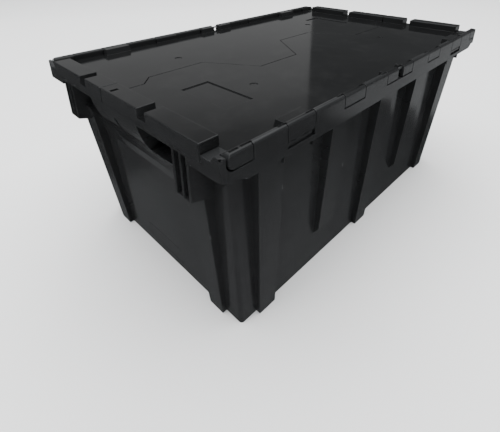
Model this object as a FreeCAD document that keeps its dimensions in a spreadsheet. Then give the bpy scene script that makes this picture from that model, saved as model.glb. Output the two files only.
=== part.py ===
import FreeCAD, Part
# Stackable storage bin with attached, interlocking lids.
# Units are millimetres. Origin is the bottom centre of the closed bin, +Z up,
# X along the long sides, Y across. The two lid halves are the same moulding,
# turned half a turn about Z, and each swings on a steel wire along a long side.
import os

doc = FreeCAD.newDocument("storage_bin")

# ---------------------------------------------------------------- sizes
sheet = doc.addObject("Spreadsheet::Sheet", "Sheet")
CELLS = [
    ("over_len", 685.8, "overall length, over the rim"),
    ("over_wid", 431.8, "overall width, over the rim"),
    ("over_hgt", 304.8, "overall height, lids closed"),
    ("base_hx", 291.2, "half length of the walls at the base"),
    ("base_hy", 174.1, "half width of the walls at the base"),
    ("draft_x", 0.083, "outward lean of the end walls per mm of height"),
    ("draft_y", 0.050, "outward lean of the long walls per mm of height"),
    ("wall", 2.8, "wall of the tub"),
    ("floor_lo", 3.0, "underside of the floor"),
    ("floor_hi", 6.0, "top of the floor"),
    ("led_lo", 281.0, "underside of the rim ledge"),
    ("led_hi", 284.2, "top of the rim ledge"),
    ("up_hi", 289.2, "top of the upstand the lids rest over"),
    ("skirt_lo", 274.0, "bottom of the rim skirt at the corners"),
    ("band_lo", 267.0, "bottom of the rim band on the long sides"),
    ("skirt_th", 3.0, "thickness of skirt and band"),
    ("hand_hy", 160.0, "half width of the handle zone, where the skirt stops"),
    ("pil_y", 181.4, "half width over the long side pilasters at the base"),
    ("pil_ly", 0.078, "lean of the long side pilasters per mm"),
    ("pil_x", 298.4, "half length over the end pilasters at the base"),
    ("pil_lx", 0.110, "lean of the end pilasters per mm"),
    ("pock_lo", 240.5, "floor of the finger pockets"),
    ("pock_x", 292.0, "back of the finger pockets, from the middle"),
    ("ax_y", 211.4, "hinge axis, distance from the middle plane"),
    ("ax_z", 298.5, "hinge axis height"),
    ("kn_r", 4.5, "radius of the hinge knuckles"),
    ("wire_r", 1.75, "radius of the hinge wire"),
    ("run_c", 0.08, "running clearance between wire and lid knuckle"),
    ("lid_lo", 289.5, "underside of the lid panel"),
    ("lid_hi", 292.5, "top of the lid panel"),
    ("lid_sk", 284.9, "bottom edge of the lid's end skirt"),
    ("lid_th", 3.0, "wall of the lid's end plates"),
    ("plate_x", 318.0, "inner face of the raised end plates"),
    ("plate_y", 183.0, "outer end of the raised end plates"),
    ("notch_a", 70.0, "inner side of the plate notch"),
    ("notch_b", 86.0, "outer side of the plate notch"),
    ("seam_g", 0.8, "half of the gap between the lid halves"),
    ("seam_hi", 42.0, "reach of the seam teeth past the middle"),
    ("seam_lo", 22.0, "seam offset at the ends"),
    ("rib_lo", 283.6, "bottom of the ribs under the lid"),
    ("rib_th", 2.2, "thickness of the ribs under the lid"),
]
for i, (alias, value, note) in enumerate(CELLS, start=1):
    sheet.set("A%d" % i, alias)
    sheet.set("B%d" % i, str(value))
    sheet.set("C%d" % i, note)
    sheet.setAlias("B%d" % i, alias)
doc.recompute()

V = FreeCAD.Vector
P = FreeCAD.Placement
R = FreeCAD.Rotation


def e(text):
    """Turn a short size expression into one that reads the sheet."""
    out = str(text)
    for alias in sorted((c[0] for c in CELLS), key=len, reverse=True):
        out = out.replace("@" + alias, "Sheet." + alias)
    return out


def box(name, x0, x1, y0, y1, z0, z1):
    b = doc.addObject("Part::Box", name)
    x0, x1, y0, y1, z0, z1 = (e(q) for q in (x0, x1, y0, y1, z0, z1))
    b.setExpression("Length", "(%s) - (%s)" % (x1, x0))
    b.setExpression("Width", "(%s) - (%s)" % (y1, y0))
    b.setExpression("Height", "(%s) - (%s)" % (z1, z0))
    b.setExpression("Placement.Base.x", x0)
    b.setExpression("Placement.Base.y", y0)
    b.setExpression("Placement.Base.z", z0)
    return b


def frustum(name, z0, z1, low, high):
    """Block with a rectangle (x0, x1, y0, y1) at each of two heights."""
    w = doc.addObject("Part::Wedge", name)
    w.Placement = P(V(0, 0, 0), R(V(1, 0, 0), 90))
    for key, val in (
        ("Ymin", z0), ("Ymax", z1),
        ("Xmin", low[0]), ("Xmax", low[1]),
        ("Zmin", "-(%s)" % low[3]), ("Zmax", "-(%s)" % low[2]),
        ("X2min", high[0]), ("X2max", high[1]),
        ("Z2min", "-(%s)" % high[3]), ("Z2max", "-(%s)" % high[2]),
    ):
        w.setExpression(key, e(val))
    return w


def tooth(name, y0, y1, low, high, z0, z1):
    """Flat plate, a trapezium in plan: x range at y0 and x range at y1."""
    w = doc.addObject("Part::Wedge", name)
    for key, val in (
        ("Ymin", y0), ("Ymax", y1), ("Zmin", z0), ("Zmax", z1),
        ("Z2min", z0), ("Z2max", z1),
        ("Xmin", low[0]), ("Xmax", low[1]),
        ("X2min", high[0]), ("X2max", high[1]),
    ):
        w.setExpression(key, e(val))
    return w


def rod(name, radius, x0, x1, y, z):
    c = doc.addObject("Part::Cylinder", name)
    c.Placement = P(V(0, 0, 0), R(V(0, 1, 0), 90))
    c.setExpression("Radius", e(radius))
    c.setExpression("Height", "(%s) - (%s)" % (e(x1), e(x0)))
    c.setExpression("Placement.Base.x", e(x0))
    c.setExpression("Placement.Base.y", e(y))
    c.setExpression("Placement.Base.z", e(z))
    return c


def fuse(name, parts):
    f = doc.addObject("Part::MultiFuse", name)
    f.Shapes = parts
    return f


def cut(name, base, tool):
    c = doc.addObject("Part::Cut", name)
    c.Base = base
    c.Tool = tool
    return c


def common(name, parts):
    c = doc.addObject("Part::MultiCommon", name)
    c.Shapes = parts
    return c


def roundish(name, base, radius, pick):
    """Fillet the edges of a block that pick() chooses."""
    doc.recompute()
    edges = []
    for i, ed in enumerate(base.Shape.Edges, start=1):
        if pick(ed):
            edges.append((i, radius, radius))
    f = doc.addObject("Part::Fillet", name)
    f.Base = base
    f.Edges = edges
    return f


def upright(ed):
    a, b = ed.Vertexes[0].Point, ed.Vertexes[-1].Point
    return abs(a.z - b.z) > 1.0 and abs(a.z - b.z) > 0.5 * ed.Length


def along_x(ed):
    a, b = ed.Vertexes[0].Point, ed.Vertexes[-1].Point
    return abs(a.x - b.x) > 0.9 * ed.Length


HX = "@over_len/2"
HY = "@over_wid/2"


def wx(z, off="0"):
    """Half length over the end walls at height z."""
    return "(@base_hx + @draft_x*(%s) - (%s))" % (z, off)


def wy(z, off="0"):
    return "(@base_hy + @draft_y*(%s) - (%s))" % (z, off)


def py(z, off="0"):
    return "(@pil_y + @pil_ly*(%s) - (%s))" % (z, off)


def px(z, off="0"):
    return "(@pil_x + @pil_lx*(%s) - (%s))" % (z, off)


def neg(t):
    return "-(%s)" % t


def span(a, b):
    return (neg(a), a, neg(b), b)


# ---------------------------------------------------------------- tub
LED = "@led_lo"
outer = []
inner = []

w_out = frustum("tub_wall_out", 0, "@led_hi", span(wx("0"), wy("0")), span(wx("@led_hi"), wy("@led_hi")))
outer.append(roundish("tub_wall_out_r", w_out, 5.0, upright))
w_in = frustum("tub_wall_in", "@floor_hi", 292,
               span(wx("@floor_hi", "@wall"), wy("@floor_hi", "@wall")),
               span(wx("292", "@wall"), wy("292", "@wall")))
inner.append(roundish("tub_wall_in_r", w_in, 4.0, upright))


def pilaster(tag, xa, xb, sxa, sxb, z0, hy0):
    """Hollow pilaster on both long walls: x edges xa..xb leaning sxa, sxb per mm."""
    for layer, off, lo in ((outer, "0", z0), (inner, "@wall", "(%s)" % z0)):
        o = "0" if layer is outer else "@wall"
        zlo = z0 if layer is outer else ("@floor_hi" if z0 == "0" else "(%s)+3" % z0)
        ztop = "@led_lo + 1" if layer is outer else "@led_lo"
        a0 = "(%s) + (%s)*(%s) + %s" % (xa, sxa, zlo, o)
        b0 = "(%s) + (%s)*(%s) - %s" % (xb, sxb, zlo, o)
        a1 = "(%s) + (%s)*(%s) + %s" % (xa, sxa, ztop, o)
        b1 = "(%s) + (%s)*(%s) - %s" % (xb, sxb, ztop, o)
        nm = "pil_%s_%s" % (tag, "out" if layer is outer else "in")
        blk = frustum(nm, zlo, ztop, (a0, b0, neg(py(zlo, o)), py(zlo, o)),
                      (a1, b1, neg(py(ztop, o)), py(ztop, o)))
        layer.append(blk)


pilaster("corner_w", "-262.9", "-232.5", "-0.081", "-0.037", "0", None)
pilaster("corner_e", "232.5", "262.9", "0.037", "0.081", "0", None)
pilaster("middle", "-16", "16", "-0.021", "0.021", "0", None)
pilaster("half_w", "-140", "-104", "-0.028", "0", "74", None)
pilaster("half_e", "104", "140", "0", "0.028", "74", None)
# run-out under the two half-height pilasters
for tag, a, b in (("w", "-142.1", "-104"), ("e", "104", "142.1")):
    outer.append(frustum("runout_" + tag, 60, 74,
                         (a, b, neg(wy("60", "0.5")), wy("60", "0.5")),
                         (a, b, neg(py("74")), py("74"))))

for tag, s in (("s", -1), ("n", 1)):
    for layer, o, zlo, ztop in ((outer, "0", "0", "@led_lo + 1"), (inner, "@wall", "@floor_hi", "@led_lo")):
        def yy(z, s=s, o=o):
            near = "(116.8 + %s)" % o
            far = "(143.8 + 0.053*(%s) - %s)" % (z, o)
            return (near, far) if s > 0 else (neg(far), neg(near))
        y0 = yy(zlo)
        y1 = yy(ztop)
        layer.append(frustum("endpil_%s_%s" % (tag, "out" if o == "0" else "in"), zlo, ztop,
                             (neg(px(zlo, o)), px(zlo, o), y0[0], y0[1]),
                             (neg(px(ztop, o)), px(ztop, o), y1[0], y1[1])))

# handle: each end wall swells out under the rim. The middle runs up to the
# rim as a hood; beside it the swelling stops as the lip of a finger pocket.
SWELL = [(192, 0.0), (208, 311.2), (222, 316.6), (234, 323.0), (243, 328.8)]
HOOD = [(243, 328.8), (252, 333.6), (262, 337.6), (272, 340.6), (282, 342.3)]
for tag, prof, hy in (("swell", SWELL, 131.0), ("hood", HOOD, 62.0)):
    for k in range(len(prof) - 1):
        (za, xa), (zb, xb) = prof[k], prof[k + 1]
        xa = wx("192") if xa == 0.0 else xa
        outer.append(frustum("%s_out%d" % (tag, k), za, zb, (neg(xa), xa, -hy, hy), (neg(xb), xb, -hy, hy)))
        zi, zj = za + 1.5, min(zb + 1.5, 281.0)
        xi = "(%s) - @wall" % xa
        xj = "(%s) - @wall" % xb
        hi = "%s - @wall" % hy
        inner.append(frustum("%s_in%d" % (tag, k), zi, zj, (neg(xi), xi, neg(hi), hi), (neg(xj), xj, neg(hi), hi)))

# rim: ledge with a turned-down skirt, corners rounded
rim_o = box("rim_out", neg(HX), HX, neg(HY), HY, "@skirt_lo", "@led_hi")
rim_or = roundish("rim_out_r", rim_o, 9.0, upright)
rim_i = box("rim_in", "-(%s) + @skirt_th" % HX, "%s - @skirt_th" % HX,
            "-(%s) + @skirt_th" % HY, "%s - @skirt_th" % HY, "@skirt_lo - 1", "@led_lo")
rim_ir = roundish("rim_in_r", rim_i, 6.0, upright)
hand = box("rim_hand_gap", "-(%s) - 1" % HX, "%s + 1" % HX, "-@hand_hy", "@hand_hy", "@skirt_lo - 1", "@led_lo")
rim = cut("rim", rim_or, fuse("rim_cutters", [rim_ir, hand]))

bands = []
for tag, y0, y1 in (("s", neg(HY), "-(%s) + @skirt_th" % HY), ("n", "%s - @skirt_th" % HY, HY)):
    bands.append(frustum("band_" + tag, "@band_lo", "@skirt_lo + 1",
                         ("-312", "312", y0, y1), ("-326", "326", y0, y1)))

# upstand round the mouth
upst = box("upstand", neg(wx("@led_hi")), wx("@led_hi"), neg(wy("@led_hi")), wy("@led_hi"), "@led_lo", "@up_hi")
upst_r = roundish("upstand_r", upst, 5.0, upright)

# hinge ridge with its knuckles, and the corner blocks
ridge = []
for tag, s in (("s", -1), ("n", 1)):
    ya, yb = ("-(%s)" % HY, "-@ax_y + @kn_r") if s < 0 else ("@ax_y - @kn_r", HY)
    ridge.append(box("ridge_" + tag, "-304", "304", ya, yb, "@led_lo", "@ax_z"))
    ridge.append(rod("ridge_top_" + tag, "@kn_r", "-304", "304", "%d*@ax_y" % s, "@ax_z"))
corner = []
for tag, sx, sy in (("sw", -1, -1), ("se", 1, -1), ("nw", -1, 1), ("ne", 1, 1)):
    def rng(s, a, b):
        return (a, b) if s > 0 else (neg(b), neg(a))
    x0, x1 = rng(sx, "320.6", HX)
    y0, y1 = rng(sy, "184.2", HY)
    blk = box("corner_" + tag, x0, x1, y0, y1, "@led_lo", 300.5)

    def out_edge(ed, sx=sx, sy=sy):
        a, b = ed.Vertexes[0].Point, ed.Vertexes[-1].Point
        return abs(a.z - b.z) > 1 and a.x * sx > 340 and a.y * sy > 213
    blk_r = roundish("corner_%s_r" % tag, blk, 9.0, out_edge)
    x2, x3 = rng(sx, "319", "345")
    y2, y3 = rng(sy, "183", "199")
    y4, y5 = rng(sy, "183", "206")
    slope = frustum("corner_%s_slope" % tag, 293, 302, (x2, x3, y2, y3), (x2, x3, y4, y5))
    corner.append(cut("corner_%s_cheek" % tag, blk_r, slope))

# corner gussets under the rim
gus = []
for tag, s in (("s", -1), ("n", 1)):
    ya, yb = ("-186.5", "-182.5") if s < 0 else ("182.5", "186.5")
    gus.append(frustum("gusset_x_" + tag, 246, "@led_lo + 1",
                       (neg(wx("246", "1")), wx("246", "1"), ya, yb), ("-339", "339", ya, yb)))
for tag, s in (("w", -1), ("e", 1)):
    xa, xb = ("-310", "-306") if s < 0 else ("306", "310")
    gus.append(frustum("gusset_y_" + tag, 246, "@led_lo + 1",
                       (xa, xb, neg(wy("246", "1")), wy("246", "1")), (xa, xb, "-211", "211")))

# handle brackets on top of the end pilasters: three upright ribs and a shelf
brk = []
brk_gap = []
for tag, s in (("s", -1), ("n", 1)):
    def yr(a, b, s=s):
        return (a, b) if s > 0 else ("-(%s)" % b, "-(%s)" % a)
    y0, y1 = yr("130.6", "@hand_hy - 0.6")
    brk.append(frustum("bracket_" + tag, 216.5, 223, (neg(px("216.5", "4")), px("216.5", "4"), y0, y1), ("-341", "341", y0, y1)))
    brk.append(box("bracket_top_" + tag, -341, 341, y0, y1, 223, "@led_lo + 1"))
    for k, (a, b) in enumerate((("134.4", "144.0"), ("147.2", "156.0"))):
        y0, y1 = yr(a, b)
        for tx, sx in (("w", -1), ("e", 1)):
            x0, x1 = ("-345", "-330") if sx < 0 else ("330", "345")
            brk_gap.append(box("bracket_gap_%s%d%s" % (tag, k, tx), x0, x1, y0, y1, 223.5, "@led_lo - 1.5"))

# stiffening plates under the rim, beside the hinge lugs
ribs = []
for k, x in enumerate((44, 97, 152, 205.5, 256.5, 301)):
    for tx, sx in (("w", -1), ("e", 1)):
        xm = sx * x
        for tag, s in (("s", -1), ("n", 1)):
            zb = 258 if k in (3, 4) else 269
            y0, y1 = ("-213.5", "-187") if s < 0 else ("187", "213.5")
            ribs.append(box("rim_plate_%d%s%s" % (k, tx, tag), xm - 1.4, xm + 1.4, y0, y1, zb, "@led_lo + 1"))

# the ledge is thicker from below where the wide lugs dip into it
for tag, s in (("s", -1), ("n", 1)):
    y0, y1 = (neg(HY), "-187") if s < 0 else ("187", HY)
    for nm, x0, x1 in (("b", -257, -205.5), ("g", 205.5, 257)):
        ribs.append(box("ledge_pad_%s_%s" % (tag, nm), x0, x1, y0, y1, 278.3, "@led_lo + 1"))
        w0, w1 = ("-206.5", "-204") if s < 0 else ("204", "206.5")
        ribs.append(box("slot_web_%s_%s" % (tag, nm), x0, x1, w0, w1, 262, "@led_lo + 1"))

outer_f = fuse("tub_outer", outer + [rim] + bands + [upst_r] + ridge + corner + gus + brk + ribs)

# finger pockets beside the hood, let into the end walls
pocket = []
back = []
for tag, sx, sy in (("sw", -1, -1), ("se", 1, -1), ("nw", -1, 1), ("ne", 1, 1)):
    x0, x1 = ("-346", "-@pock_x") if sx < 0 else ("@pock_x", "346")
    y0, y1 = ("-131", "-62") if sy < 0 else ("62", "131")
    pb = box("pocket_" + tag, x0, x1, y0, y1, "@pock_lo", "@led_lo")

    def low_edge(ed):
        a, b = ed.Vertexes[0].Point, ed.Vertexes[-1].Point
        return abs(a.x - b.x) > 20 and a.z < 250
    pocket.append(roundish("pocket_%s_r" % tag, pb, 12.0, low_edge))
    x0, x1 = ("-345", "-@pock_x + @wall") if sx < 0 else ("@pock_x - @wall", "345")
    y0, y1 = ("-133.8", "-59.2") if sy < 0 else ("59.2", "133.8")
    back.append(box("pocket_back_" + tag, x0, x1, y0, y1, "@pock_lo - @wall", "@led_lo + 0.5"))
inner_f = cut("tub_inner", fuse("tub_inner_all", inner), fuse("tub_pocket_backs", back))

# windows for the lid lugs
LUGS = [("a", -336.0, -305.0), ("b", -254.0, -208.0), ("c", -148.0, -101.0), ("d", -40.0, 40.0),
        ("f", 101.0, 148.0), ("g", 208.0, 254.0), ("k", 305.0, 336.0)]
wins = []
for tag, s in (("s", -1), ("n", 1)):
    ya, yb = ("-(%s) - 1" % HY, "-195.8") if s < 0 else ("195.8", "%s + 1" % HY)
    for nm, a, b in LUGS:
        ga, gb = (1.8 if nm == "a" else 1.1), (1.8 if nm == "k" else 1.1)
        zb = "281.4" if nm in ("b", "g") else "@led_hi"
        wb = box("window_%s_%s" % (tag, nm), a - ga, b + gb, ya, yb, zb, 310)
        if nm in ("a", "k"):
            xe = a - ga if nm == "a" else b + gb

            def round_end(ed, xe=xe):
                p, q = ed.Vertexes[0].Point, ed.Vertexes[-1].Point
                return abs(p.y - q.y) > 10 and abs(p.x - xe) < 0.1 and p.z < 290
            wb = roundish("window_%s_%s_r" % (tag, nm), wb, 8.0, round_end)
        wins.append(wb)
    ya, yb = ("-(%s) - 1" % HY, "-207.4") if s < 0 else ("207.4", "%s + 1" % HY)
    # slot under each wide lug, turned up at the end that faces the next corner
    for nm, a, b in (LUGS[1], LUGS[5]):
        wins.append(box("low_slot_%s_%s" % (tag, nm), a - 0.7, b + 0.7, ya, yb, 273.5, 278.3))
        xa, xb = (b - 5.6, b + 0.7) if s < 0 else (a - 0.7, a + 5.6)
        wins.append(box("side_slot_%s_%s" % (tag, nm), xa, xb, ya, yb, 273.5, "@led_hi + 1"))
    # short slits along the top of the ridge, where lug and ridge meet
    ya, yb = ("-212.7", "-209.7") if s < 0 else ("209.7", "212.7")
    for nm, a, b in LUGS:
        for q, xm in (("a", a), ("b", b)):
            if (nm, q) in (("a", "a"), ("k", "b")):
                continue
            m0, m1 = (xm - 12, xm + 2) if s < 0 else (xm - 2, xm + 12)
            wins.append(box("slit_%s_%s%s" % (tag, nm, q), m0, m1, ya, yb, 301.3, 304))

slots = []
for tag, x0, x1 in (("w", -339.2, -328.6), ("e", 328.6, 339.2)):
    slots.append(box("tie_hole_" + tag, x0, x1, -3.1, 3.1, 236, 290))
# outline of a plain label panel, let 0.5 mm into each end wall
for tx, sx in (("w", -1), ("e", 1)):
    for k, (y0, y1, z0, z1) in enumerate(((-45.5, -44.4, 14, 44), (44.4, 45.5, 14, 44),
                                          (-45.5, 45.5, 14, 15.1), (-45.5, 45.5, 42.9, 44))):
        def xr(z, sx=sx):
            return ("-(%s) - 8" % wx(z), "-(%s) + 0.5" % wx(z)) if sx < 0 else ("%s - 0.5" % wx(z), "%s + 8" % wx(z))
        lo_x, hi_x = xr(str(z0)), xr(str(z1))
        slots.append(frustum("label_line_%s%d" % (tx, k), z0, z1, (lo_x[0], lo_x[1], y0, y1), (hi_x[0], hi_x[1], y0, y1)))
under = box("under_recess", -276, 276, -160, 160, -1, "@floor_lo")
wire_holes = [rod("wire_hole_s", "@wire_r", -350, 350, "-@ax_y", "@ax_z"),
              rod("wire_hole_n", "@wire_r", -350, 350, "@ax_y", "@ax_z")]

tub_1 = cut("tub_1", outer_f, inner_f)
tub = cut("tub", tub_1, fuse("tub_cutters", pocket + wins + slots + brk_gap + [under] + wire_holes))

# ---------------------------------------------------------------- lid half
# Seam in plan, walking +X: 22, 42, -42, 42, -42, -22 with slanted steps.
RAMP = 84.0


def make_lid(tag):
    t = "lid_" + tag + "_"
    G = "@seam_g"
    zlo, zhi = "@lid_lo", "@lid_hi"
    edge_y = "-@ax_y + @kn_r + 0.6"
    pan = []
    pan.append(box(t + "panel", "-@plate_x - 2", "@plate_x + 2", "-@plate_y + 1", "-@seam_hi - " + G, zlo, zhi))
    pan.append(box(t + "panel_edge", "-@plate_x - 1.9", "@plate_x + 1.9", edge_y, "-@plate_y + 2", zlo, zhi))
    pan.append(box(t + "corner_tongue", -335.8, 335.8, edge_y, -198.5, zlo, zhi))
    # teeth
    sx = "0.35"
    pan.append(tooth(t + "tooth_a", "-@seam_hi - %s - 1" % G, "@seam_lo - " + G,
                     ("-@plate_x - 2", "-115 - %s + 1" % sx), ("-@plate_x - 2", "-152.3 - " + sx), zlo, zhi))
    pan.append(tooth(t + "tooth_b", "@seam_lo - %s - 0.01" % G, "@seam_hi - " + G,
                     ("-281 + " + sx, "-152.3 - " + sx), ("-262 + " + sx, "-164 - " + sx), zlo, zhi))
    pan.append(tooth(t + "tooth_c", "-@seam_hi - %s - 1" % G, "@seam_hi - " + G,
                     ("-27 + %s - 1" % sx, "164 - %s + 1" % sx), ("27 + " + sx, "115 - " + sx), zlo, zhi))
    pan.append(tooth(t + "tooth_d", "-@seam_hi - %s - 1" % G, "-@seam_lo - " + G,
                     ("262 + %s - 1" % sx, "@plate_x + 2"), ("281 + " + sx, "@plate_x + 2"), zlo, zhi))
    # end strips with their skirts, and the raised plates on them
    hollow = []
    for k, (x0, x1, c0, c1, ys) in enumerate((
            (neg(HX), "-@plate_x", "-(%s) + @lid_th" % HX, "-@plate_x - @lid_th", "@seam_lo - " + G),
            ("@plate_x", HX, "@plate_x + @lid_th", "%s - @lid_th" % HX, "-@seam_lo - " + G))):
        pan.append(box(t + "strip%d" % k, x0, x1, "-@plate_y", ys, "@lid_sk", zhi))
        hollow.append(box(t + "strip_in%d" % k, c0, c1, "-@plate_y + @lid_th", "(%s) - @lid_th" % ys, "@lid_sk - 1", zlo))
        for m, (y0, y1) in enumerate((("-@plate_y", "-@notch_b"), ("-@notch_a", ys))):
            pl = box(t + "plate%d%d" % (k, m), x0, x1, y0, y1, "@lid_lo", "@over_hgt")

            def top_edge(ed):
                a, b = ed.Vertexes[0].Point, ed.Vertexes[-1].Point
                return min(a.z, b.z) > 300 or abs(a.z - b.z) > 5
            pan.append(roundish(t + "plate_r%d%d" % (k, m), pl, 1.2, top_edge))
            hollow.append(box(t + "plate_in%d%d" % (k, m), c0, c1, "(%s) + @lid_th" % y0, "(%s) - @lid_th" % y1,
                              "@lid_sk - 1", "@over_hgt - @lid_th"))
    # hinge lugs: knuckle, web and hanging tab
    holes = []
    for nm, a, b in LUGS:
        pieces = [(nm, a, b)] if nm != "d" else [("d1", a, -8.0), ("d2", 8.0, b)]
        for nn, x0, x1 in pieces:
            bits = [
                rod(t + "knuckle_" + nn, "@kn_r", x0, x1, "-@ax_y", "@ax_z"),
                box(t + "web_" + nn, x0, x1, "-@ax_y", "-@ax_y + 6.4", "@lid_lo", "@ax_z + 1.5"),
                box(t + "tab_" + nn, x0, x1, "-(%s)" % HY, "-@ax_y", 282.4 if nm in ("b", "g") else 286.0, "@ax_z"),
            ]
            lug = fuse(t + "lug_" + nn, bits)
            if nm in ("a", "k"):
                xo, xi = (x0, x1 + 30) if nm == "a" else (x0 - 30, x1)
                env = box(t + "env_" + nn, xo, xi, -220, -190, 286.0, 303.0)

                def end_edge(ed, xe=(x0 if nm == "a" else x1)):
                    p, q = ed.Vertexes[0].Point, ed.Vertexes[-1].Point
                    return abs(p.y - q.y) > 10 and abs(p.x - xe) < 0.1
                lug = common(t + "lugd_" + nn, [lug, roundish(t + "env_r_" + nn, env, 7.5, end_edge)])
            pan.append(lug)
            if nm in ("b", "g"):
                bs = frustum(t + "boss_" + nn, "@lid_lo", 302.0,
                             (x0, x1, "-@ax_y + 1", -193.5), (x0 + 1.5, x1 - 1.5, "-@ax_y + 1", -196.0))
                pan.append(bs)
            if nm == "d":
                bs = frustum(t + "boss_" + nn, "@lid_lo", 301.5,
                             (x0, x1, "-@ax_y + 1", -199.5), (x0 + 1, x1 - 1, "-@ax_y + 1", -201.0))
                pan.append(bs)
    # ribs under the panel
    for k, y in enumerate((-178, -112, -50)):
        pan.append(box(t + "rib_x%d" % k, -306, 306, "%d - @rib_th/2" % y, "%d + @rib_th/2" % y, "@rib_lo", zlo + " + 0.5"))
    for k, x in enumerate((-302, -200, -100, 0, 100, 200, 302)):
        pan.append(box(t + "rib_y%d" % k, "%d - @rib_th/2" % x, "%d + @rib_th/2" % x, -179, -47, "@rib_lo", zlo + " + 0.5"))
    body = fuse(t + "body", pan)
    # wire bore, open at one end only so the wire can be slid in
    bore = rod(t + "bore", "@wire_r + @run_c", -333.5, 340, "-@ax_y", "@ax_z")
    # slits along the knuckle tops, label recess, gate dimples, tie slot
    slits = []
    for nm, a, b in LUGS:
        for q, xm in (("a", a), ("b", b)):
            if (nm, q) != ("a", "a") and (nm, q) != ("k", "b"):
                slits.append(box(t + "slit_%s%s" % (nm, q), xm - 12, xm + 2, -212.7, -209.7, 301.3, 304))
    slits.append(box(t + "slit_end", -331, -320, -212.7, -209.7, 301.3, 304))
    label = box(t + "label", -259, -214, -125, -34, zhi + " - 1.4", zhi + " + 2")
    label2 = box(t + "label2", -259, -214, -125, -34, zhi + " - 0.8", zhi + " + 2")
    dims = []
    for k, x in enumerate((-178, 178)):
        c = doc.addObject("Part::Cylinder", t + "gate%d" % k)
        c.Radius = 6.0
        c.Height = 4.0
        c.setExpression("Placement.Base.x", str(x))
        c.setExpression("Placement.Base.y", "-90")
        c.setExpression("Placement.Base.z", e(zhi + " - 0.9"))
        dims.append(c)
    tie = box(t + "tie", -339.2, -328.6, -3.1, 3.1, 280, 310)
    doc.removeObject(label2.Name)
    tie_post = box(t + "tie_post", "-(%s) + 1" % HX, "-@plate_x - 1", -5.5, 5.5, "@lid_sk", "@over_hgt - 1")
    b1 = cut(t + "b1", body, fuse(t + "hollows", hollow))
    b2 = fuse(t + "b2", [b1, tie_post])
    return cut("lid_" + tag, b2, fuse(t + "cutters", [bore, label, tie] + dims + slits))


lid_front = make_lid("front")
lid_rear = make_lid("rear")
lid_rear.Placement = P(V(0, 0, 0), R(V(0, 0, 1), 180))

# ---------------------------------------------------------------- wires
wire_front = rod("hinge_wire_front", "@wire_r", -333, 336, "-@ax_y", "@ax_z")
wire_rear = rod("hinge_wire_rear", "@wire_r", -336, 333, "@ax_y", "@ax_z")

doc.recompute()

NODES = [("tub", tub), ("lid_front", lid_front), ("lid_rear", lid_rear),
         ("hinge_wire_front", wire_front), ("hinge_wire_rear", wire_rear)]
for label, ob in NODES:
    ob.Label = label
doc.recompute()

bad = []
for ob in doc.Objects:
    if "Invalid" in ob.State or "Error" in ob.State:
        bad.append("%s state %s" % (ob.Name, ob.State))
    if hasattr(ob, "Shape") and (ob.Shape.isNull() or not ob.Shape.isValid()):
        bad.append("%s shape" % ob.Name)
if bad:
    raise RuntimeError("bad objects: " + "; ".join(bad))

os.makedirs("parts", exist_ok=True)
for label, ob in NODES:
    ob.Shape.exportStep("parts/%s.step" % label)
    bb = ob.Shape.BoundBox
    print("%-18s solids %d vol %.1f cm3  x %.1f..%.1f y %.1f..%.1f z %.1f..%.1f" % (
        label, len(ob.Shape.Solids), ob.Shape.Volume / 1000.0,
        bb.XMin, bb.XMax, bb.YMin, bb.YMax, bb.ZMin, bb.ZMax))
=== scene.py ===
import math

import bmesh
import bpy
from mathutils import Matrix, Vector

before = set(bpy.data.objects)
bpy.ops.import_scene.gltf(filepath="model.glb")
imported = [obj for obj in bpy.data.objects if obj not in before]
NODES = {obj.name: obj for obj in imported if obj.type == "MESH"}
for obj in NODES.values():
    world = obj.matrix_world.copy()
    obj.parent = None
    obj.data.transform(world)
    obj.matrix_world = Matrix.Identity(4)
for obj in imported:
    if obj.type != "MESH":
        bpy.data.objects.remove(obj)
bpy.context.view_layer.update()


# ------------------------------------------------------------------ camera
def camera():
    """Stands off the near left corner and looks down the bin's diagonal."""
    cx, cy = 255.15, 105.0
    f_px = 370.57
    yaw, pitch, roll = 0.786395, -0.421179, -0.012878
    place = Vector((-0.512826, -0.427307, 0.474091))
    fwd = Vector((math.cos(pitch) * math.cos(yaw), math.cos(pitch) * math.sin(yaw), math.sin(pitch)))
    right = Vector((math.sin(yaw), -math.cos(yaw), 0.0))
    up = right.cross(fwd)
    r = math.cos(roll) * right + math.sin(roll) * up
    u = -math.sin(roll) * right + math.cos(roll) * up
    cam = bpy.data.cameras.new("camera")
    cam.sensor_fit = "HORIZONTAL"
    cam.sensor_width = 36.0
    cam.lens = f_px / 500.0 * 36.0
    cam.shift_x = (250.0 - cx) / 500.0
    cam.shift_y = (cy - 216.0) / 500.0
    cam.clip_start = 0.02
    cam.clip_end = 60.0
    ob = bpy.data.objects.new("camera", cam)
    m = Matrix((
        (r.x, u.x, -fwd.x, place.x),
        (r.y, u.y, -fwd.y, place.y),
        (r.z, u.z, -fwd.z, place.z),
        (0, 0, 0, 1),
    ))
    ob.matrix_world = m
    bpy.context.scene.collection.objects.link(ob)
    bpy.context.scene.camera = ob


camera()


# ------------------------------------------------------------------ light
def softbox(name, at, aim, size, power, spread=180.0, shape="RECTANGLE", glossy=True):
    lt = bpy.data.lights.new(name, "AREA")
    lt.shape = shape
    lt.size = size[0]
    lt.size_y = size[1]
    lt.energy = power
    lt.spread = math.radians(spread)
    ob = bpy.data.objects.new(name, lt)
    at = Vector(at)
    d = Vector(aim) - at
    ob.location = at
    ob.rotation_euler = d.to_track_quat("-Z", "Y").to_euler()
    ob.visible_glossy = glossy
    bpy.context.scene.collection.objects.link(ob)
    return ob


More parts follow.
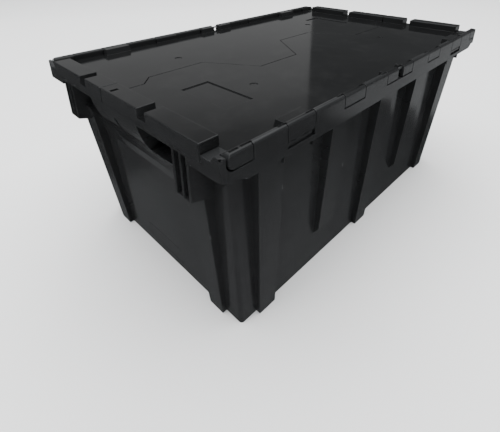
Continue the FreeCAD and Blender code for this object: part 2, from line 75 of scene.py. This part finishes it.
def wall_box(name, az0, az1, dist, h0, h1, radiance):
    """Upright softbox seen from the camera's foot between two bearings."""
    c = Vector((-0.513, -0.427, 0.0))
    a0, a1 = math.radians(az0), math.radians(az1)
    p0 = c + dist * Vector((math.cos(a0), math.sin(a0), 0.0))
    p1 = c + dist * Vector((math.cos(a1), math.sin(a1), 0.0))
    mid = (p0 + p1) / 2
    wide = (p1 - p0).length
    n = (p1 - p0).normalized()
    facing = Vector((n.y, -n.x, 0.0))
    if facing.dot(c - mid) < 0:
        facing = -facing
    at = Vector((mid.x, mid.y, (h0 + h1) / 2))
    return softbox(name, at, at + facing, (wide, h1 - h0), radiance * math.pi * wide * (h1 - h0))


def studio():
    world = bpy.data.worlds.new("studio")
    world.use_nodes = True
    nt = world.node_tree
    bg = nt.nodes["Background"]
    coord = nt.nodes.new("ShaderNodeTexCoord")
    sep = nt.nodes.new("ShaderNodeSeparateXYZ")
    nt.links.new(coord.outputs["Generated"], sep.inputs[0])
    x, y, z = sep.outputs

    def ramp(v, lo, hi, a=0.0, b=1.0):
        r = nt.nodes.new("ShaderNodeMapRange")
        r.clamp = True
        for key, val in (("From Min", lo), ("From Max", hi), ("To Min", a), ("To Max", b)):
            r.inputs[key].default_value = val
        nt.links.new(v, r.inputs["Value"])
        return r.outputs["Result"]

    def calc(op, a, b):
        n = nt.nodes.new("ShaderNodeMath")
        n.operation = op
        for i, v in enumerate((a, b)):
            if isinstance(v, float):
                n.inputs[i].default_value = v
            else:
                nt.links.new(v, n.inputs[i])
        return n.outputs[0]

    # a dim room above; below the horizon the pale table, in shade near the bin
    sky = ramp(z, -0.02, 0.02, 0.0, 0.085)
    left = ramp(y, -0.05, 0.15)
    right = ramp(y, -0.05, 0.15, 1.0, 0.0)
    low_left = calc("MULTIPLY", left, ramp(z, -0.572, -0.600, 0.0, 0.10))
    low_right = calc("MULTIPLY", right, ramp(z, -0.50, -0.78, 0.0, 0.15))
    under = calc("ADD", calc("ADD", low_left, low_right), ramp(z, 0.02, -0.02, 0.0, 0.045))
    # a bright card far off to the right
    turn = calc("DIVIDE", y, x)
    card = calc("MULTIPLY", ramp(turn, -0.68, -0.60), ramp(turn, -0.10, -0.16))
    card = calc("MULTIPLY", card, ramp(x, 0.0, 0.1))
    card = calc("MULTIPLY", card, ramp(z, -0.438, -0.424))
    card = calc("MULTIPLY", card, ramp(z, -0.05, -0.12))
    ceiling = ramp(z, 0.56, 0.80, 0.0, 1.3)
    total = calc("ADD", calc("ADD", sky, under), calc("MULTIPLY", card, 0.36))
    total = calc("ADD", total, ceiling)
    bg.inputs["Color"].default_value = (0.95, 0.98, 1.0, 1.0)
    nt.links.new(total, bg.inputs["Strength"])
    bpy.context.scene.world = world
    # overhead fill, out of reach of the lid's reflections
    softbox("overhead", (0.3, 0.3, 3.6), (0.3, 0.3, 0.0), (6.0, 6.0), 470.0, glossy=False)
    # tall box behind on the left, fading towards its top: the sheen on the lids
    wall_box("back_left_a", 36.2, 92.0, 3.4, 0.20, 1.50, 0.25)
    wall_box("back_left_b", 36.2, 92.0, 3.4, 1.50, 1.72, 0.18)
    wall_box("back_left_c", 36.2, 92.0, 3.4, 1.72, 1.94, 0.10)
    wall_box("back_left_d", 36.2, 92.0, 3.4, 1.94, 2.20, 0.04)
    # key from the left, over the end wall
    softbox("key", (-2.3, 0.5, 1.9), (0.0, 0.0, 0.1), (1.1, 1.1), 14.0)


studio()


# ------------------------------------------------------------------ floor
def floor():
    bm = bmesh.new()
    bmesh.ops.create_grid(bm, x_segments=2, y_segments=2, size=9.0)
    me = bpy.data.meshes.new("floor")
    bm.to_mesh(me)
    bm.free()
    ob = bpy.data.objects.new("floor", me)
    ob.location = (1.0, 1.0, -0.0004)
    bpy.context.scene.collection.objects.link(ob)
    mat = bpy.data.materials.new("floor_paint")
    mat.use_nodes = True
    nt = mat.node_tree
    p = nt.nodes["Principled BSDF"]
    p.inputs["Base Color"].default_value = (0.86, 0.86, 0.86, 1)
    p.inputs["Roughness"].default_value = 0.85
    p.inputs["Specular IOR Level"].default_value = 0.2
    me.materials.append(mat)
    ob.visible_glossy = False
    return ob


floor()


# ------------------------------------------------------------------ materials
class Nodes:
    """Small helper for building a node tree."""

    def __init__(self, name):
        self.mat = bpy.data.materials.new(name)
        self.mat.use_nodes = True
        self.nt = self.mat.node_tree
        self.bsdf = self.nt.nodes["Principled BSDF"]
        self.coord = self.nt.nodes.new("ShaderNodeTexCoord")

    def new(self, kind, **vals):
        n = self.nt.nodes.new(kind)
        for k, v in vals.items():
            if k.startswith("_"):
                setattr(n, k[1:], v)
            else:
                n.inputs[k].default_value = v
        return n

    def link(self, a, b):
        self.nt.links.new(a, b)

    def mapped(self, scale):
        m = self.new("ShaderNodeMapping")
        m.inputs["Scale"].default_value = scale
        self.link(self.coord.outputs["Object"], m.inputs["Vector"])
        return m.outputs["Vector"]

    def noise(self, vec, scale, detail=3.0, rough=0.5):
        n = self.new("ShaderNodeTexNoise", Scale=scale, Detail=detail, Roughness=rough)
        self.link(vec, n.inputs["Vector"])
        return n.outputs["Fac"]

    def ramp(self, fac, lo, hi, a=0.0, b=1.0):
        r = self.new("ShaderNodeMapRange")
        r.clamp = True
        r.inputs["From Min"].default_value = lo
        r.inputs["From Max"].default_value = hi
        r.inputs["To Min"].default_value = a
        r.inputs["To Max"].default_value = b
        self.link(fac, r.inputs["Value"])
        return r.outputs["Result"]

    def math(self, op, a, b):
        n = self.new("ShaderNodeMath")
        n.operation = op
        for i, v in enumerate((a, b)):
            if isinstance(v, (int, float)):
                n.inputs[i].default_value = v
            else:
                self.link(v, n.inputs[i])
        return n.outputs[0]

    def mix(self, fac, c1, c2):
        n = self.new("ShaderNodeMix")
        n.data_type = "RGBA"
        self.link(fac, n.inputs[0])
        for idx, c in ((6, c1), (7, c2)):
            if isinstance(c, tuple):
                n.inputs[idx].default_value = c
            else:
                self.link(c, n.inputs[idx])
        return n.outputs[2]


def plastic(name, dark, light, rough_lo, rough_hi, grain, wave, edge=0.0008, top_shade=1.0):
    """Moulded black polyolefin: faint mottling, flow lines, fine grain, scuffed edges."""
    s = Nodes(name)
    flat = s.mapped((1.0, 1.0, 1.0))
    # colour: slow mottling, then streaks that follow the flow of the melt
    mott = s.noise(flat, 9.0, 4.0, 0.55)
    flow = s.noise(s.mapped((2.0, 2.0, 11.0)), 6.0, 3.0, 0.6)
    both = s.math("ADD", s.math("MULTIPLY", mott, 0.6), s.math("MULTIPLY", flow, 0.4))
    col = s.mix(s.ramp(both, 0.35, 0.65), dark, light)
    if top_shade != 1.0:
        # painted shade: faces whose normal points up get darker base colours (top_shade times dark and light), so the
        # large top face is deeper in tone than the edges where the overhead light falls on it
        nz = s.new("ShaderNodeSeparateXYZ")
        s.link(s.coord.outputs["Normal"], nz.inputs[0])
        painted_top_shade = s.mix(s.ramp(both, 0.35, 0.65), tuple(c * top_shade for c in dark[:3]) + (1.0,),
                     tuple(c * top_shade for c in light[:3]) + (1.0,))
        col = s.mix(s.ramp(nz.outputs["Z"], 0.7, 0.95), col, painted_top_shade)
    # edge mask: where a slightly rounded normal leaves the face's own
    bev = s.new("ShaderNodeBevel", Radius=0.0016)
    bev.samples = 6
    geo = s.new("ShaderNodeNewGeometry")
    dot = s.new("ShaderNodeVectorMath")
    dot.operation = "DOT_PRODUCT"
    s.link(bev.outputs["Normal"], dot.inputs[0])
    s.link(geo.outputs["Normal"], dot.inputs[1])
    ao = s.new("ShaderNodeAmbientOcclusion", Distance=0.004)
    ao.samples = 6
    ao.only_local = True
    rim = s.math("MULTIPLY", s.ramp(dot.outputs["Value"], 0.999, 0.90), s.ramp(ao.outputs["AO"], 0.86, 0.98))
    breakup = s.ramp(s.noise(flat, 55.0, 5.0, 0.65), 0.42, 0.62)
    wear = s.math("MULTIPLY", rim, breakup)
    worn = tuple(min(1.0, c * 2.0 + 0.008) for c in light[:3]) + (1.0,)
    col = s.mix(s.math("MULTIPLY", wear, 0.28), col, worn)
    # dust that settles on faces that look up
    sep = s.new("ShaderNodeSeparateXYZ")
    s.link(geo.outputs["Normal"], sep.inputs[0])
    upw = s.ramp(sep.outputs["Z"], 0.75, 1.0)
    dust = s.math("MULTIPLY", s.math("MULTIPLY", upw, s.ramp(s.noise(flat, 26.0, 6.0, 0.7), 0.5, 0.8)), 0.022)
    col = s.mix(dust, col, (0.20, 0.20, 0.195, 1.0))
    s.link(col, s.bsdf.inputs["Base Color"])
    # roughness: cloudy, with thin scuffs
    cloud = s.ramp(s.noise(flat, 4.5, 4.0, 0.6), 0.3, 0.7, rough_lo, rough_hi)
    sc1 = s.noise(s.mapped((3.0, 240.0, 60.0)), 1.6, 2.0, 0.5)
    sc2 = s.noise(s.mapped((190.0, 4.0, 60.0)), 1.3, 2.0, 0.5)
    scuff = s.math("MAXIMUM", s.ramp(sc1, 0.66, 0.72), s.ramp(sc2, 0.68, 0.74))
    gate = s.ramp(s.noise(flat, 3.1, 2.0), 0.5, 0.62)
    scuff = s.math("MULTIPLY", scuff, gate)
    rgh = s.math("ADD", cloud, s.math("MULTIPLY", scuff, 0.05))
    rgh = s.math("ADD", rgh, s.math("MULTIPLY", wear, 0.15))
    s.link(rgh, s.bsdf.inputs["Roughness"])
    # bump: slow sink of the walls, mould grain, scuffs; on a softened edge
    soft = s.new("ShaderNodeBevel", Radius=edge)
    soft.samples = 6
    b1 = s.new("ShaderNodeBump", Strength=1.0, Distance=wave)
    s.link(s.noise(flat, 7.0, 2.0, 0.4), b1.inputs["Height"])
    s.link(soft.outputs["Normal"], b1.inputs["Normal"])
    b2 = s.new("ShaderNodeBump", Strength=1.0, Distance=grain)
    fine = s.math("ADD", s.noise(flat, 900.0, 3.0, 0.6), s.math("MULTIPLY", scuff, -0.3))
    s.link(fine, b2.inputs["Height"])
    s.link(b1.outputs["Normal"], b2.inputs["Normal"])
    s.link(b2.outputs["Normal"], s.bsdf.inputs["Normal"])
    s.bsdf.inputs["IOR"].default_value = 1.5
    return s.mat


def steel(name):
    s = Nodes(name)
    vec = s.mapped((1.0, 1.0, 1.0))
    drawn = s.noise(s.mapped((2.0, 900.0, 900.0)), 1.0, 3.0, 0.6)
    col = s.mix(s.ramp(drawn, 0.35, 0.65), (0.42, 0.42, 0.43, 1), (0.58, 0.58, 0.59, 1))
    spots = s.ramp(s.noise(vec, 160.0, 5.0, 0.7), 0.62, 0.75)
    col = s.mix(s.math("MULTIPLY", spots, 0.5), col, (0.20, 0.16, 0.13, 1))
    s.link(col, s.bsdf.inputs["Base Color"])
    s.bsdf.inputs["Metallic"].default_value = 1.0
    s.link(s.ramp(drawn, 0.3, 0.7, 0.25, 0.42), s.bsdf.inputs["Roughness"])
    b = s.new("ShaderNodeBump", Strength=0.6, Distance=0.00004)
    s.link(drawn, b.inputs["Height"])
    s.link(b.outputs["Normal"], s.bsdf.inputs["Normal"])
    return s.mat


tub_mat = plastic("tub_plastic", (0.0135, 0.0139, 0.0144, 1), (0.0195, 0.0200, 0.0206, 1), 0.10, 0.16, 0.000005, 0.0005)
# the lid's upward faces carry painted shade: their colours are scaled to 0.36
lid_mat = plastic("lid_plastic", (0.0135, 0.0139, 0.0144, 1), (0.0195, 0.0200, 0.0206, 1), 0.07, 0.12, 0.000003, 0.0002, top_shade=0.36)
wire_mat = steel("wire_steel")

for name, mat in (("tub", tub_mat), ("lid_front", lid_mat), ("lid_rear", lid_mat),
                  ("hinge_wire_front", wire_mat), ("hinge_wire_rear", wire_mat)):
    ob = NODES[name]
    for i in range(len(ob.material_slots)):
        ob.material_slots[i].material = mat
    if not ob.material_slots:
        ob.data.materials.append(mat)
